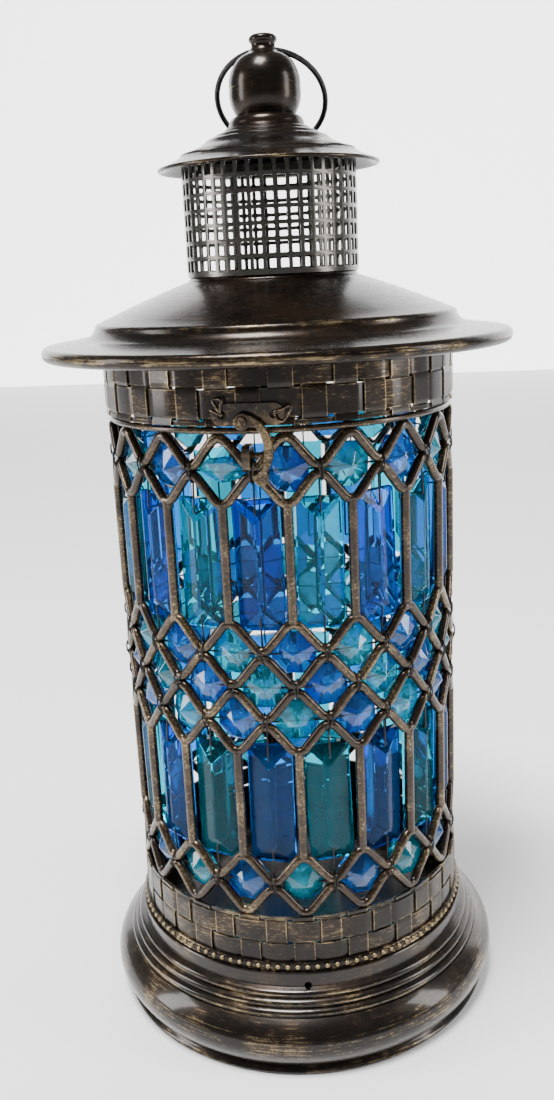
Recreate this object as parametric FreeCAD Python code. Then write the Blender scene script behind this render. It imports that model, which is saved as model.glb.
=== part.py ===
import FreeCAD, Part
import math
import os
from FreeCAD import Vector

# A round metal candle lantern: a bent-wire wall strung with acrylic jewels, between woven bands,
# on a spun base, under a hinged roof with a pierced chimney, a finial and a hanging ring.
# Millimetres, +Z up, origin at the middle of the foot. The latch is at the front (-Y), the hinge at
# the back (+Y). Angles run from the front towards +X.

# Fits
solder_lap = 0.3
running_clearance = 0.05
loose_clearance = 0.3
lid_gap = 0.5

# Wire cage
cage_radius = 58.0
column_count = 18
wire_diameter = 3.0
zigzag_height = 8.5
bend_radius = 3.0
bar_run = 37.4
bar_sink = 1.0
top_ring_wire = 2.0

# Jewels
bead_width = 13.6
bead_girdle = 1.6
bead_crown = 4.6
prism_width = 14.4
prism_reach = 1.8
prism_drop = 0.9
prism_girdle = 2.4
prism_crown = 2.6
prism_hip = 7.0
prism_hole_inset = 4.5
jewel_hole = 1.2
tie_wire = 0.6
tie_bend = 0.9

# Base
base_overhang = 12.3
foot_overhang = 9.6
foot_flange = 4.6
foot_height = 4.5
roll_height = 16.0
ridge_count = 2
ridge_step = 2.2
ridge_rise = 3.2
ridge_bulge = 0.7
neck_cove = 0.8
neck_wall = 2.0
neck_height = 5.8
base_wall = 1.4
band_seat_depth = 2.0
seat_ledge = 7.0
neck_hole = 2.2
neck_hole_angle = 9.5

# Woven bands, trim and floor pan
band_wall = 0.8
lower_band_height = 21.7
trim_height = 3.2
trim_depth = 1.2
pan_wall = 1.0
pan_rim = 4.0

# Roof
roof_wall = 1.0
brim_overhang = 19.3
brim_bead_radius = 2.4
brim_rise = 20.2
brim_fall = 1.0
step_rise = 3.4
step_run = 5.0
shoulder_overhang = 1.6
shoulder_round = 1.8
cone_rise = 11.2
collar_rise = 3.6

# Chimney, cap and finial
chimney_radius = 28.0
chimney_wall = 0.7
chimney_height = 37.4
chimney_lift = 1.7
screen_columns = 44
screen_rows = 7
screen_row_pitch = 4.7
screen_hole_width = 2.9
screen_hole_height = 3.4
screen_margin = 1.6
cap_wall = 1.0
cap_overhang = 7.6
cap_fall = 5.2
cap_rise = 6.9
cap_ridges = 3
cap_ridge_width = 3.0
finial_flange = 11.4
finial_waist = 9.5
finial_waist_rise = 3.6
ball_radius = 11.3
ball_rise = 10.6
ball_top_rise = 10.2
neck_radius = 3.9
neck_length = 3.6
button_radius = 4.3
button_height = 2.7
ring_hole = 3.4
ring_wire = 1.8
ring_outside = 37.2
lean_step = 0.5
screw_radius = 2.0
screw_depth = 8.0
screw_head_radius = 3.6
screw_head_height = 2.4

# Hinge
leaf_width = 15.0
leaf_wall = 1.0
leaf_height = 8.0
knuckle_radius = 2.0
hinge_pin_radius = 0.9
hinge_rivet_radius = 1.1

# Latch
plate_width = 21.6
plate_height = 6.6
plate_wall = 1.0
plate_lift = 0.2
plate_hole = 2.4
rivet_radius = 1.1
rivet_head_radius = 1.55
rivet_head_height = 0.8
rivet_offset = -1.5
rivet_lift = 1.8
hook_wall = 1.4
hook_standoff = 1.1
hook_eye_radius = 2.5
hook_reach = 18.9
latch_wire = 0.8
cross_bar_wire = 2.0
cross_bar_rise = 3.4
staple_width = 2.4
staple_wall = 1.1
staple_depth = 4.9
staple_height = 7.2
staple_offset = -0.6

# Worked out from the sizes above: the cage
wire_radius = wire_diameter / 2
wire_centre = cage_radius - wire_radius
column_angle = 360.0 / column_count
half_angle = column_angle / 2
wire_step = wire_diameter - solder_lap
base_height = foot_height + roll_height + ridge_count * ridge_rise + neck_height
seat_z = base_height - band_seat_depth
lower_band_top = seat_z + lower_band_height

# Worked out: heights of the lowest points of the eight zigzag wires, counted from the top down
valley_8 = lower_band_top + wire_radius - solder_lap
valley_7 = valley_8 + zigzag_height + wire_step
valley_6 = valley_7 + zigzag_height + bar_run
valley_5 = valley_6 + zigzag_height + wire_step
valley_4 = valley_5 + zigzag_height + wire_step
valley_3 = valley_4 + zigzag_height + wire_step
valley_2 = valley_3 + zigzag_height + bar_run
valley_1 = valley_2 + zigzag_height + wire_step
valleys = [valley_1, valley_2, valley_3, valley_4, valley_5, valley_6, valley_7, valley_8]
top_ring_z = valley_1 + zigzag_height + wire_radius + top_ring_wire / 2 - solder_lap
lid_z = top_ring_z + top_ring_wire / 2 + lid_gap

# Worked out: roof, chimney and cap
shoulder_radius = cage_radius + shoulder_overhang
brim_radius = cage_radius + brim_overhang
brim_bead_centre = brim_radius - brim_bead_radius
brim_z = lid_z + brim_rise
brim_top_z = brim_z + brim_bead_radius
step_foot_z = brim_top_z + brim_fall
shoulder_z = step_foot_z + step_rise + shoulder_round
collar_radius = chimney_radius - chimney_wall
cone_foot_z = shoulder_z + cone_rise
cone_slope = cone_rise / (shoulder_radius - shoulder_round - collar_radius)
sheet_shift = 0.7
sheet_depth = roof_wall * (1 + sheet_shift * cone_slope)
chimney_z = cone_foot_z + chimney_lift
cap_seat_z = chimney_z + chimney_height - solder_lap
cap_break_z = cap_seat_z + cap_wall
cap_top_z = cap_break_z + cap_rise
cap_rim_radius = chimney_radius + cap_overhang
cap_rim_z = cap_break_z - cap_fall
ball_z = cap_top_z + ball_rise
neck_z = ball_z + ball_top_rise
ring_hole_z = neck_z + neck_length / 2
button_z = neck_z + neck_length
ring_radius = (ring_outside - ring_wire) / 2

# Worked out: hinge and latch
hinge_y = cage_radius + leaf_wall + 2 * loose_clearance + knuckle_radius
hinge_z = lid_z - lid_gap / 2
plate_back_y = -cage_radius
plate_front_y = plate_back_y - plate_wall
hook_back_y = plate_front_y - hook_standoff
hook_front_y = hook_back_y - hook_wall
plate_z = lid_z + plate_lift + plate_height / 2
rivet_z = lid_z + rivet_lift
cross_bar_z = valley_1 + cross_bar_rise


def at(angle, radius, z):
    """Point at an angle from the front, a distance from the axis and a height."""
    turn = math.radians(angle)
    return Vector(radius * math.sin(turn), -radius * math.cos(turn), z)


def turn_to(shape, angle):
    """Copy of a shape made at the front, turned round the axis to an angle."""
    copy = shape.copy()
    copy.rotate(Vector(0, 0, 0), Vector(0, 0, 1), angle)
    return copy


def ring_of(shape, angles):
    """Group of copies of a shape made at the front, one at each angle."""
    return Part.makeCompound([turn_to(shape, angle) for angle in angles])


def edges_through(points):
    """Edges through a list of points; a pair (middle, end) in the list is an arc."""
    edges = []
    last = points[0]
    for step in points[1:]:
        if isinstance(step, tuple):
            middle, end = step
            edges.append(Part.Arc(last, middle, end).toShape())
            last = end
        else:
            edges.append(Part.LineSegment(last, step).toShape())
            last = step
    if last.distanceToPoint(points[0]) > 1e-6:
        edges.append(Part.LineSegment(last, points[0]).toShape())
    return edges


def face_of(points):
    """Flat face inside a closed outline."""
    return Part.Face(Part.Wire(edges_through(points)))


def rz(radius, z):
    """Point of a turned profile."""
    return Vector(radius, 0, z)


def turned(points):
    """Solid turned round the axis from a profile."""
    return face_of(points).revolve(Vector(0, 0, 0), Vector(0, 0, 1), 360)


def bulge(start, end, height):
    """Arc step from start to end that stands out by a height, away from the axis and up."""
    along = end - start
    out = Vector(-along.z, 0, along.x)
    if out.z < 0:
        out = out.negative()
    return ((start + end) * 0.5 + out.normalize() * height, end)


def tube(outer, inner, low, high):
    """Upright tube round the axis."""
    body = Part.makeCylinder(outer, high - low, Vector(0, 0, low))
    return body.cut(Part.makeCylinder(inner, high - low, Vector(0, 0, low)))


def rounded_corner(before, corner, after, radius):
    """Start, middle and end of the arc that rounds a corner of a wire path."""
    back = (before - corner).normalize()
    ahead = (after - corner).normalize()
    half = back.getAngle(ahead) / 2
    reach = radius / math.tan(half)
    middle = corner + (back + ahead).normalize() * (radius / math.sin(half) - radius)
    return corner + back * reach, middle, corner + ahead * reach


def bent_wire(points, radius, thickness, closed):
    """Round wire along straight runs with rounded corners."""
    count = len(points)
    corners = range(count) if closed else range(1, count - 1)
    arcs = [rounded_corner(points[i - 1], points[i], points[(i + 1) % count], radius) for i in corners]
    edges = []
    last = arcs[-1][2] if closed else points[0]
    first = last
    for start, middle, end in arcs:
        edges.append(Part.LineSegment(last, start).toShape())
        edges.append(Part.Arc(start, middle, end).toShape())
        last = end
    if not closed:
        edges.append(Part.LineSegment(last, points[-1]).toShape())
    aim = points[0] - points[-1] if closed else points[1] - points[0]
    section = Part.Wire(Part.makeCircle(thickness / 2, first, aim))
    return Part.Wire(edges).makePipeShell([section], True, False)


def zigzag_slope():
    """Run between neighbouring bends, and the slope of the wire between them."""
    run = 2 * wire_centre * math.sin(math.radians(half_angle / 2))
    drop = zigzag_height - 2 * bend_radius
    span = math.hypot(run, drop)
    return run, math.atan2(drop, run) + math.asin(2 * bend_radius / span)


def zigzag_wire(index):
    """One closed zigzag wire; odd ones have their peaks at the columns, even ones between."""
    run, slope = zigzag_slope()
    middle = valleys[index - 1] + zigzag_height / 2
    reach = run * math.tan(slope) / 2
    points = []
    for k in range(2 * column_count):
        peak = (k + index) % 2 == 0
        z = middle + reach if peak else middle - reach
        points.append(at(k * half_angle, wire_centre, z))
    return bent_wire(points, bend_radius, wire_diameter, True)


def bars(low_wire, high_wire):
    """Upright bars at the columns, from the peaks of one zigzag wire to the valleys of another."""
    low = valleys[low_wire - 1] + zigzag_height + wire_radius - bar_sink
    high = valleys[high_wire - 1] - wire_radius + bar_sink
    bar = Part.makeCylinder(wire_radius, high - low, at(0, wire_centre, low))
    return ring_of(bar, column_angles())


def column_angles():
    """Angles of the bars and of the beads between two zigzag wires."""
    return [half_angle + k * column_angle for k in range(column_count)]


def window_angles():
    """Angles of the prisms, half way between the bars."""
    return [k * column_angle for k in range(column_count)]


def faceted(corners, faces):
    """Solid with flat facets."""
    sides = [Part.Face(Part.makePolygon([corners[i] for i in face + face[:1]])) for face in faces]
    solid = Part.Solid(Part.Shell(sides))
    if solid.Volume < 0:
        solid.reverse()
    return solid


def bead_front():
    """Depth of the bead's front rim: behind the wires, with its crown clear of them."""
    run, slope = zigzag_slope()
    apothem = bead_width / 2
    rise = (zigzag_height + wire_step) / 2
    wire_off = run / 2 * math.sin(slope) + rise * math.cos(slope)
    wire_depth = wire_centre * math.cos(math.radians(half_angle / 2)) ** 2
    facet = math.hypot(apothem, bead_crown)
    room = wire_radius + loose_clearance
    back_off = (room * facet + apothem * bead_crown - bead_crown * wire_off) / apothem
    return min(jewel_front(), wire_depth - back_off)


def jewel_front():
    """Depth just behind every wire of the cage."""
    return wire_centre * math.cos(math.radians(half_angle)) - wire_radius - loose_clearance / 2


def tie_radius():
    """Distance from the axis of a tie wire that nests between two touching wires."""
    touch = wire_radius + tie_wire / 2 - solder_lap / 3
    return wire_centre - math.sqrt(touch ** 2 - (wire_step / 2) ** 2)


def bead(z):
    """Octagon bead at the front, with a cross hole for its tie wire."""
    front = -bead_front()
    back = front + bead_girdle
    corner = bead_width / 2 / math.cos(math.pi / 8)
    ring = [math.pi / 8 + k * math.pi / 4 for k in range(8)]
    corners = [Vector(corner * math.cos(a), front, z + corner * math.sin(a)) for a in ring]
    corners += [Vector(corner * math.cos(a), back, z + corner * math.sin(a)) for a in ring]
    corners += [Vector(0, front - bead_crown, z), Vector(0, back + bead_crown, z)]
    faces = []
    for k in range(8):
        n = (k + 1) % 8
        faces.append([k, n, 8 + n, 8 + k])
        faces.append([k, n, 16])
        faces.append([8 + k, 8 + n, 17])
    depth = -tie_radius() * math.cos(math.radians(half_angle))
    hole = Part.makeCylinder(jewel_hole / 2, 2 * bead_width, Vector(-bead_width, depth, z), Vector(1, 0, 0))
    return faceted(corners, faces).cut(hole)


def bead_row(row):
    """Height and angles of one row of beads, counted from the top."""
    upper_wire = [1, 3, 4, 5, 7][row - 1]
    z = valleys[upper_wire - 1] - wire_step / 2
    angles = window_angles() if upper_wire % 2 == 0 else column_angles()
    return z, angles


def bead_tie(row):
    """Thin wire round the cage, through every bead of a row and nested in the joints between them."""
    z, angles = bead_row(row)
    joints = [at(angle + half_angle, tie_radius(), z) for angle in angles]
    return bent_wire(joints, tie_bend, tie_wire, True)


def prism_ends(low_wire):
    """Lower and upper end of the prisms that stand above a zigzag wire."""
    window_low = valleys[low_wire - 1] + zigzag_height
    low = window_low - prism_reach - prism_drop
    return low, window_low + bar_run + prism_reach - prism_drop


def prism(low_wire):
    """Long prism at the front with a hipped ridge before and behind, and two holes for its tie."""
    low, high = prism_ends(low_wire)
    half = prism_width / 2
    front = -jewel_front()
    back = front + prism_girdle
    corners = [Vector(x, y, z) for y in (front, back) for x, z in
               ((-half, low), (half, low), (half, high), (-half, high))]
    corners += [Vector(0, y, z) for y in (front - prism_crown, back + prism_crown)
                for z in (low + prism_hip, high - prism_hip)]
    faces = [[0, 1, 5, 4], [1, 2, 6, 5], [2, 3, 7, 6], [3, 0, 4, 7],
             [0, 1, 8], [1, 2, 9, 8], [2, 3, 9], [3, 0, 8, 9],
             [4, 5, 10], [5, 6, 11, 10], [6, 7, 11], [7, 4, 10, 11]]
    solid = faceted(corners, faces)
    for z in (low + prism_hole_inset, high - prism_hole_inset):
        solid = solid.cut(Part.makeCylinder(jewel_hole / 2, 2 * cage_radius, Vector(0, -2 * cage_radius, z),
                                            Vector(0, 1, 0)))
    return solid


def prism_tie(low_wire):
    """Thin wire from the joint above, through the prism, down its back and out to the joint below."""
    low, high = prism_ends(low_wire)
    gap = tie_wire / 2 + loose_clearance / 2
    crown = prism_crown * min(1.0, prism_hole_inset / prism_hip)
    before = -jewel_front() - crown - gap
    behind = -jewel_front() + prism_girdle + prism_crown + gap
    grip = wire_radius * math.sqrt(0.5)
    top_joint = valleys[low_wire - 2] + zigzag_height
    foot_joint = valleys[low_wire - 1]
    points = [Vector(0, -wire_centre + grip, top_joint - grip)]
    points += [Vector(0, y, high - prism_hole_inset) for y in (before, behind)]
    points += [Vector(0, y, low + prism_hole_inset) for y in (behind, before)]
    points += [Vector(0, -wire_centre + grip, foot_joint + grip)]
    return bent_wire(points, tie_bend, tie_wire, False)


def base_shell():
    """Spun base: foot, big roll, small ridges and neck, hollow below, with a ledge for the band."""
    foot = cage_radius + foot_overhang
    neck = cage_radius + neck_wall
    seat = cage_radius + loose_clearance / 3
    roll_low = foot_height
    roll_high = foot_height + roll_height
    ridge_start = neck + neck_cove + ridge_count * ridge_step
    roll_middle = rz(cage_radius + base_overhang, (roll_low + roll_high) / 2)
    points = [rz(foot - foot_flange, 0), rz(foot, 0), rz(foot, roll_low - base_wall)]
    points += [rz(foot - base_wall / 2, roll_low), (roll_middle, rz(ridge_start, roll_high))]
    for k in range(ridge_count):
        start = rz(ridge_start - k * ridge_step, roll_high + k * ridge_rise)
        end = rz(start.x - ridge_step, start.z + ridge_rise)
        points.append(bulge(start, end, ridge_bulge))
    neck_foot_z = base_height - neck_height + neck_cove
    points += [rz(neck, neck_foot_z), rz(neck, base_height), rz(seat, base_height), rz(seat, seat_z)]
    points += [rz(cage_radius - seat_ledge, seat_z), rz(cage_radius - seat_ledge, seat_z - base_wall)]
    inner_neck = neck - 1.5 * base_wall
    points += [rz(inner_neck, seat_z - base_wall), rz(ridge_start - 1.5 * base_wall, roll_high)]
    inner_middle = rz(roll_middle.x - base_wall, roll_middle.z)
    points += [(inner_middle, rz(foot - 1.5 * base_wall, roll_low)), rz(foot - 1.5 * base_wall, base_wall)]
    points += [rz(foot - foot_flange, base_wall)]
    shell = turned(points)
    hole_z = seat_z - base_wall - neck_hole / 2 - loose_clearance
    drill = Part.makeCylinder(neck_hole / 2, 4 * neck_wall, at(neck_hole_angle, neck + neck_wall, hole_z),
                              at(neck_hole_angle, -1, 0))
    return shell.cut(drill)


def floor_pan():
    """Round pan with an upturned rim, on the ledge of the base inside the lower band."""
    rim = cage_radius - band_wall - loose_clearance
    bowl = rim - pan_wall
    return turned([rz(0, seat_z), rz(rim, seat_z), rz(rim, seat_z + pan_rim), rz(bowl, seat_z + pan_rim),
                   rz(bowl, seat_z + pan_wall), rz(0, seat_z + pan_wall)])


def lower_band():
    """Woven band, as a plain sheet, standing on the ledge of the base."""
    return tube(cage_radius, cage_radius - band_wall, seat_z, lower_band_top)


def trim_strip():
    """Beaded strip, as a plain rounded ring, on the neck of the base round the lower band."""
    inner = cage_radius - solder_lap / 3
    outer = cage_radius + trim_depth / 2
    low = base_height
    high = base_height + trim_height
    crest = rz(cage_radius + trim_depth, (low + high) / 2)
    return turned([rz(inner, low), rz(outer, low), (crest, rz(outer, high)), rz(inner, high)])


def top_ring():
    """Wire ring soldered on the peaks of the first zigzag wire."""
    return Part.makeTorus(wire_centre, top_ring_wire / 2, Vector(0, 0, top_ring_z))


def roof_skin(shift, drop):
    """Top line of the roof from the collar out to the step's foot, moved in and down."""
    shoulder = rz(shoulder_radius, shoulder_z - shoulder_round)
    cone_end = rz(shoulder_radius - shoulder_round, shoulder_z)
    step_foot = rz(shoulder_radius + step_run, step_foot_z)
    round_middle = rz(shoulder_radius - shoulder_round * 0.35, shoulder_z - shoulder_round * 0.4)
    cove_middle = rz(shoulder_radius + step_run * 0.3, step_foot_z + step_rise * 0.3)
    move = rz(-shift, -drop)
    return [rz(collar_radius, cone_foot_z + collar_rise) + move, rz(collar_radius, cone_foot_z) + move,
            cone_end + move, (round_middle + move, shoulder + move), (cove_middle + move, step_foot + move)]


def reversed_steps(points):
    """The same line walked the other way."""
    ends = [step[1] if isinstance(step, tuple) else step for step in points]
    line = [ends[-1]]
    for k in range(len(points) - 1, 0, -1):
        step = points[k]
        line.append((step[0], ends[k - 1]) if isinstance(step, tuple) else ends[k - 1])
    return line


def roof():
    """Spun roof sheet: collar, cone, rounded shoulder, cove and brim with a rolled edge."""
    top = roof_skin(0, 0)
    under = roof_skin(sheet_shift * roof_wall, roof_wall)
    diagonal = brim_bead_radius * math.sqrt(0.5)
    bead_top = rz(brim_bead_centre, brim_top_z)
    bead_foot = rz(brim_bead_centre, brim_z - brim_bead_radius)
    bead_side = rz(brim_bead_centre - brim_bead_radius, brim_z)
    bead_join = rz(brim_bead_centre - diagonal, brim_z + diagonal)
    points = top + [bead_top, (rz(brim_radius, brim_z), bead_foot), (bead_side, bead_join)]
    points += reversed_steps(under)
    return turned(points)


def upper_band():
    """Woven band of the lid, as a plain sheet, soldered under the cone of the roof."""
    cone_z = shoulder_z + (shoulder_radius - shoulder_round - cage_radius) * cone_slope
    return tube(cage_radius, cage_radius - band_wall, lid_z, cone_z - sheet_depth + solder_lap)


def chimney_screen():
    """Upright sheet tube pierced with rows of square holes, over the collar and up to the cap."""
    low = chimney_z
    wall = tube(chimney_radius, chimney_radius - chimney_wall, low, low + chimney_height)
    pins = []
    for row in range(screen_rows):
        z = low + screen_margin + row * screen_row_pitch
        pin = Part.makeBox(screen_hole_width, 3 * chimney_wall, screen_hole_height,
                           Vector(-screen_hole_width / 2, -chimney_radius - chimney_wall, z))
        for column in range(screen_columns):
            pins.append(turn_to(pin, column * 360.0 / screen_columns))
    return wall.cut(Part.makeCompound(pins))


def cap_skin():
    """Top line of the cap from its hub out to its rim, with ridges near the hub."""
    hub = finial_flange
    brow_radius = hub + cap_ridges * cap_ridge_width
    slope = cap_rise / (chimney_radius - hub)
    points = [rz(screw_radius + running_clearance, cap_top_z), rz(hub, cap_top_z)]
    for k in range(cap_ridges):
        start = rz(hub + k * cap_ridge_width, cap_top_z - k * cap_ridge_width * slope)
        end = rz(start.x + cap_ridge_width, start.z - cap_ridge_width * slope)
        points.append(bulge(start, end, cap_wall * 0.35))
    brow = rz(brow_radius, cap_top_z - (brow_radius - hub) * slope)
    seat = rz(chimney_radius, cap_break_z)
    points.append(bulge(brow, seat, cap_wall * 0.15))
    points.append(bulge(seat, rz(cap_rim_radius, cap_rim_z), cap_wall * 0.5))
    return points


def cap():
    """Small domed cap over the chimney, an open thin sheet below."""
    top = cap_skin()
    hub = finial_flange
    under = [rz(cap_rim_radius - cap_wall * 0.3, cap_rim_z - cap_wall * 0.5)]
    under += [rz(chimney_radius, cap_seat_z), rz(hub, cap_top_z - cap_wall)]
    under += [rz(screw_radius + running_clearance, cap_top_z - cap_wall)]
    return turned(top + under)


def finial():
    """Turned finial on the cap: flange, waist, ball, neck and button, drilled for ring and screw."""
    waist_z = cap_top_z + finial_waist_rise
    cove = rz(finial_waist + (finial_flange - finial_waist) * 0.25, cap_top_z + finial_waist_rise * 0.4)
    button_top = button_z + button_height
    button_round = button_height * 0.4
    points = [rz(0, cap_top_z), rz(finial_flange, cap_top_z), (cove, rz(finial_waist, waist_z))]
    points += [(rz(ball_radius, ball_z), rz(neck_radius, neck_z)), rz(neck_radius, button_z)]
    points += [rz(button_radius, button_z), rz(button_radius, button_top - button_round)]
    corner = rz(button_radius - button_round * 0.3, button_top - button_round * 0.3)
    points += [(corner, rz(button_radius - button_round, button_top)), rz(0, button_top)]
    body = turned(points)
    cross = Part.makeCylinder(ring_hole / 2, 4 * ball_radius, Vector(-2 * ball_radius, 0, ring_hole_z),
                              Vector(1, 0, 0))
    blind = Part.makeCylinder(screw_radius, screw_depth, Vector(0, 0, cap_top_z))
    return body.cut(cross).cut(blind)


def finial_screw():
    """Screw that holds the finial from inside the cap."""
    head_top = cap_top_z - cap_wall
    head_foot = Vector(0, 0, head_top - screw_head_height)
    head = Part.makeCylinder(screw_head_radius, screw_head_height, head_foot)
    return head.fuse(Part.makeCylinder(screw_radius, screw_depth + cap_wall, Vector(0, 0, head_top)))


def hanging_ring(resting_on):
    """Wire ring through the finial's cross hole, leaning back until it rests on the cap."""
    middle = Vector(0, 0, ring_hole_z - ring_radius)
    ring = Part.makeTorus(ring_radius, ring_wire / 2, middle, Vector(0, 1, 0))
    pivot = Vector(0, 0, ring_hole_z)
    lean = 0.0
    while lean < 180 and ring.distToShape(resting_on)[0] < loose_clearance:
        ring.rotate(pivot, Vector(1, 0, 0), lean_step)
        lean += lean_step
    print("hanging_ring leans back", lean, "degrees")
    return ring


def leaf(inner, low, high):
    """Hinge leaf bent round the cage at the back."""
    outer = inner + leaf_wall
    bent = tube(outer, inner, low, high)
    return bent.common(Part.makeBox(leaf_width, outer, high - low, Vector(-leaf_width / 2, 0, low)))


def knuckle(x_low, x_high, bore):
    """Part of the hinge barrel, bored for the pin."""
    start = Vector(x_low, hinge_y, hinge_z)
    barrel = Part.makeCylinder(knuckle_radius, x_high - x_low, start, Vector(1, 0, 0))
    return barrel, Part.makeCylinder(bore, x_high - x_low, start, Vector(1, 0, 0))


def hinge_half(inner, low, high, spans, bore, web_low, web_high):
    """A leaf with its knuckles, each joined to the leaf by a short web."""
    half = leaf(inner, low, high)
    bores = []
    for x_low, x_high in spans:
        barrel, hole = knuckle(x_low, x_high, bore)
        web_start = inner + leaf_wall / 2
        web = Part.makeBox(x_high - x_low, hinge_y - web_start, web_high - web_low,
                           Vector(x_low, web_start, web_low))
        half = half.fuse(barrel).fuse(web)
        bores.append(hole)
    for hole in bores:
        half = half.cut(hole)
    return half


def hinge_body_leaf():
    """Hinge half soldered on the back of the cage, with the two outer knuckles."""
    wire_back = wire_centre * math.cos(math.radians(half_angle / 2)) + wire_radius
    inner = wire_back - solder_lap
    edge = leaf_width / 6 + loose_clearance / 2
    spans = [(-leaf_width / 2, -edge), (edge, leaf_width / 2)]
    high = hinge_z - knuckle_radius / 2
    return hinge_half(inner, high - leaf_height, high, spans, hinge_pin_radius, high - leaf_wall, high)


def hinge_lid_leaf():
    """Hinge half on the back of the lid's band, with the middle knuckle."""
    edge = leaf_width / 6 - loose_clearance / 2
    low = lid_z + lid_gap
    bore = hinge_pin_radius + running_clearance
    inner = cage_radius - solder_lap / 2
    return hinge_half(inner, low, low + leaf_height, [(-edge, edge)], bore, low, low + leaf_wall)


def hinge_pin():
    """Pin through the hinge barrel."""
    return Part.makeCylinder(hinge_pin_radius, leaf_width, Vector(-leaf_width / 2, hinge_y, hinge_z),
                             Vector(1, 0, 0))


def hinge_rivets():
    """Two round-headed rivets that hold the upper leaf to the band."""
    rivets = []
    z = lid_z + lid_gap + leaf_height * 0.65
    for side in (-1, 1):
        x = side * leaf_width / 3
        y = math.sqrt(cage_radius ** 2 - x ** 2)
        shank = Part.makeCylinder(hinge_rivet_radius / 2, leaf_wall + band_wall + solder_lap,
                                  Vector(x, y - band_wall, z), Vector(0, 1, 0))
        head = Part.makeSphere(hinge_rivet_radius, Vector(x, y + leaf_wall - hinge_rivet_radius / 4, z))
        rivets.append(shank.fuse(head))
    return Part.makeCompound(rivets)


def front_plate(points, y_back, thickness):
    """Flat plate in front of the cage from an outline of x and z points."""
    face = face_of(points)
    face.translate(Vector(0, y_back, 0))
    return face.extrude(Vector(0, -thickness, 0))


def front_pin(radius, y_back, y_front):
    """Round pin along the latch's pivot, from back to front."""
    start = Vector(rivet_offset, y_back, rivet_z)
    return Part.makeCylinder(radius, y_back - y_front, start, Vector(0, -1, 0))


def latch_plate():
    """Round-ended plate of the latch, with a tie hole at each end and a rivet hole."""
    half = plate_height / 2
    flat = plate_width / 2 - half
    low = plate_z - half
    high = plate_z + half
    right_end = (Vector(flat + half, 0, plate_z), Vector(flat, 0, high))
    left_end = (Vector(-flat - half, 0, plate_z), Vector(-flat, 0, low))
    outline = [Vector(-flat, 0, low), Vector(flat, 0, low), right_end, Vector(-flat, 0, high), left_end]
    plate = front_plate(outline, plate_back_y, plate_wall)
    for x, z, radius in ((-flat, plate_z, plate_hole / 2), (flat, plate_z, plate_hole / 2),
                         (rivet_offset, rivet_z, rivet_radius)):
        plate = plate.cut(Part.makeCylinder(radius, 3 * plate_wall, Vector(x, plate_back_y + plate_wall, z),
                                            Vector(0, -1, 0)))
    return plate


def latch_rivet():
    """Rivet from the band through the plate, with a shoulder behind the hook and a head before it."""
    shank_back = plate_back_y + band_wall / 2
    head_back = hook_front_y - loose_clearance / 2
    shoulder_front = hook_back_y + loose_clearance / 2
    shank = front_pin(rivet_radius, shank_back, head_back)
    shoulder = front_pin(rivet_head_radius, plate_front_y, shoulder_front)
    head = front_pin(rivet_head_radius, head_back, head_back - rivet_head_height)
    return shank.fuse(shoulder).fuse(head)


def latch_ties():
    """Two bent wires that tie the plate to the band through its end holes."""
    ties = []
    flat = (plate_width - plate_height) / 2
    for side in (-1, 1):
        x = side * flat
        band_y = -math.sqrt((cage_radius - band_wall / 2) ** 2 - flat ** 2)
        ear_y = plate_front_y - latch_wire / 2
        ear = Vector(x + side * plate_height / 2, ear_y, plate_z + plate_height / 4)
        ties.append(bent_wire([Vector(x, band_y, plate_z), Vector(x, ear_y, plate_z), ear],
                              latch_wire / 2 + tie_bend / 3, latch_wire, False))
    return Part.makeCompound(ties)


def latch_hook():
    """Flat crescent hook on the rivet, its tail hanging just beside the staple."""
    reach = hook_reach
    pivot = Vector(rivet_offset, 0, rivet_z)

    def rel(x, z):
        return pivot + Vector(x, 0, z)

    eye = hook_eye_radius
    tip = rel(staple_offset + staple_width / 2 + loose_clearance - rivet_offset, -0.83 * reach)
    outline = [rel(0.3 * eye, 0.95 * eye),
               (rel(0.37 * reach, -0.11 * reach), rel(0.465 * reach, -0.40 * reach)),
               (rel(0.435 * reach, -0.63 * reach), rel(0.36 * reach, -0.76 * reach)),
               (rel(0.36 * reach, -0.93 * reach), rel(0.27 * reach, -reach)),
               (rel(0.165 * reach, -0.94 * reach), tip),
               (rel(0.26 * reach, -0.73 * reach), rel(0.305 * reach, -0.60 * reach)),
               (rel(0.315 * reach, -0.36 * reach), rel(0.22 * reach, -0.10 * reach)),
               rel(0, -0.5 * eye), rel(-0.5 * eye, 0)]
    arm = front_plate(outline, hook_back_y, hook_wall)
    disc = front_pin(eye, hook_back_y, hook_front_y)
    bore = front_pin(rivet_radius + running_clearance, hook_back_y + hook_wall, hook_front_y - hook_wall)
    return arm.fuse(disc).cut(bore).removeSplitter()


def latch_cross_bar():
    """Short bar across one V of the first zigzag wire, under the latch."""
    slope = zigzag_slope()[1]
    reach = cross_bar_rise / math.tan(slope) + wire_radius
    return Part.makeCylinder(cross_bar_wire / 2, 2 * reach, Vector(-reach, -wire_centre, cross_bar_z),
                             Vector(1, 0, 0))


def rounded_block(width, inset, radius):
    """Block round the cross bar, set in from the staple's outline, with its edges along X rounded."""
    back = -wire_centre + cross_bar_wire / 2 - solder_lap + staple_wall - inset
    front = -cage_radius - staple_depth + inset
    height = staple_height - 2 * inset
    block = Part.makeBox(width, back - front, height,
                         Vector(staple_offset - width / 2, front, cross_bar_z - height / 2))
    return block.makeFillet(radius, [edge for edge in block.Edges if abs(edge.tangentAt(0).x) > 0.99])


def latch_staple():
    """Strap bent into a loop round the cross bar, standing out in front of the cage."""
    outer = rounded_block(staple_width, 0, 1.5 * staple_wall)
    return outer.cut(rounded_block(3 * staple_width, staple_wall, staple_wall / 2))


def colours(angles):
    """Angles of the even places and of the odd places in a row."""
    return angles[0::2], angles[1::2]


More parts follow.
